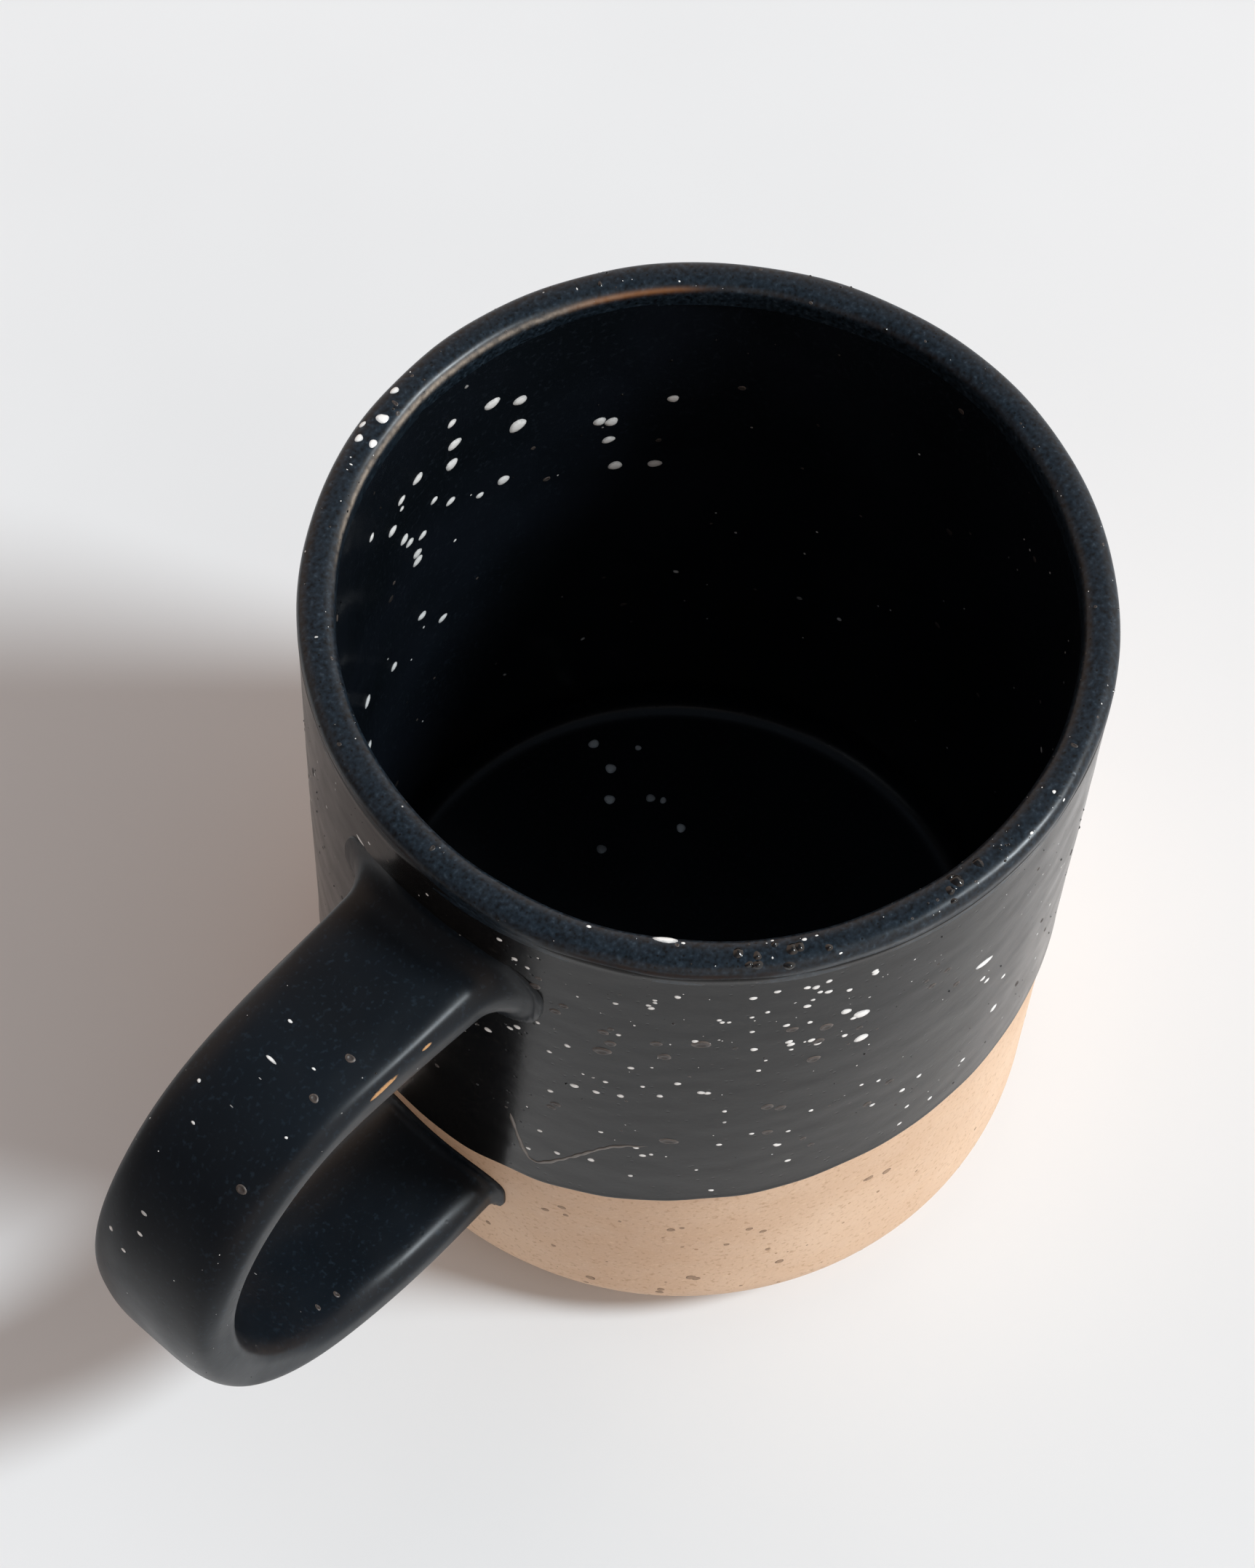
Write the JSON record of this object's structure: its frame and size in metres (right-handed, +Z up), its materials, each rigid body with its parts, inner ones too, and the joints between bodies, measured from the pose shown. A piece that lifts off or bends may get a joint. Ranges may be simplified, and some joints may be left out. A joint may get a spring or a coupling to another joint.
{
  "type": "mug",
  "caption": "Straight-sided stoneware mug with a black glazed upper body, a bare clay foot and a flat looped strap handle.",
  "frame": {"origin": "centre of the foot ring, on the table", "axes": "+Z up along the cup's axis, +X towards the handle, +Y to the handle's left seen from outside"},
  "size_m": [0.1274, 0.084, 0.096],
  "materials": {
    "bare_stoneware": "satin fired clay",
    "black_glaze": "satin black glaze",
    "liner_glaze": "glossy black glaze",
    "lip_glaze": "mottled satin black glaze",
    "handle_glaze": "satin blue-black glaze"
  },
  "bodies": {
    "root": {"cup_body": "bare_stoneware", "handle": "bare_stoneware", "upper_slip_collar": "handle_glaze", "lower_slip_collar": "handle_glaze", "outer_glaze": "black_glaze", "liner_glaze": "liner_glaze", "lip_glaze": "lip_glaze", "handle_glaze": "handle_glaze"}
  },
  "joints": []
}
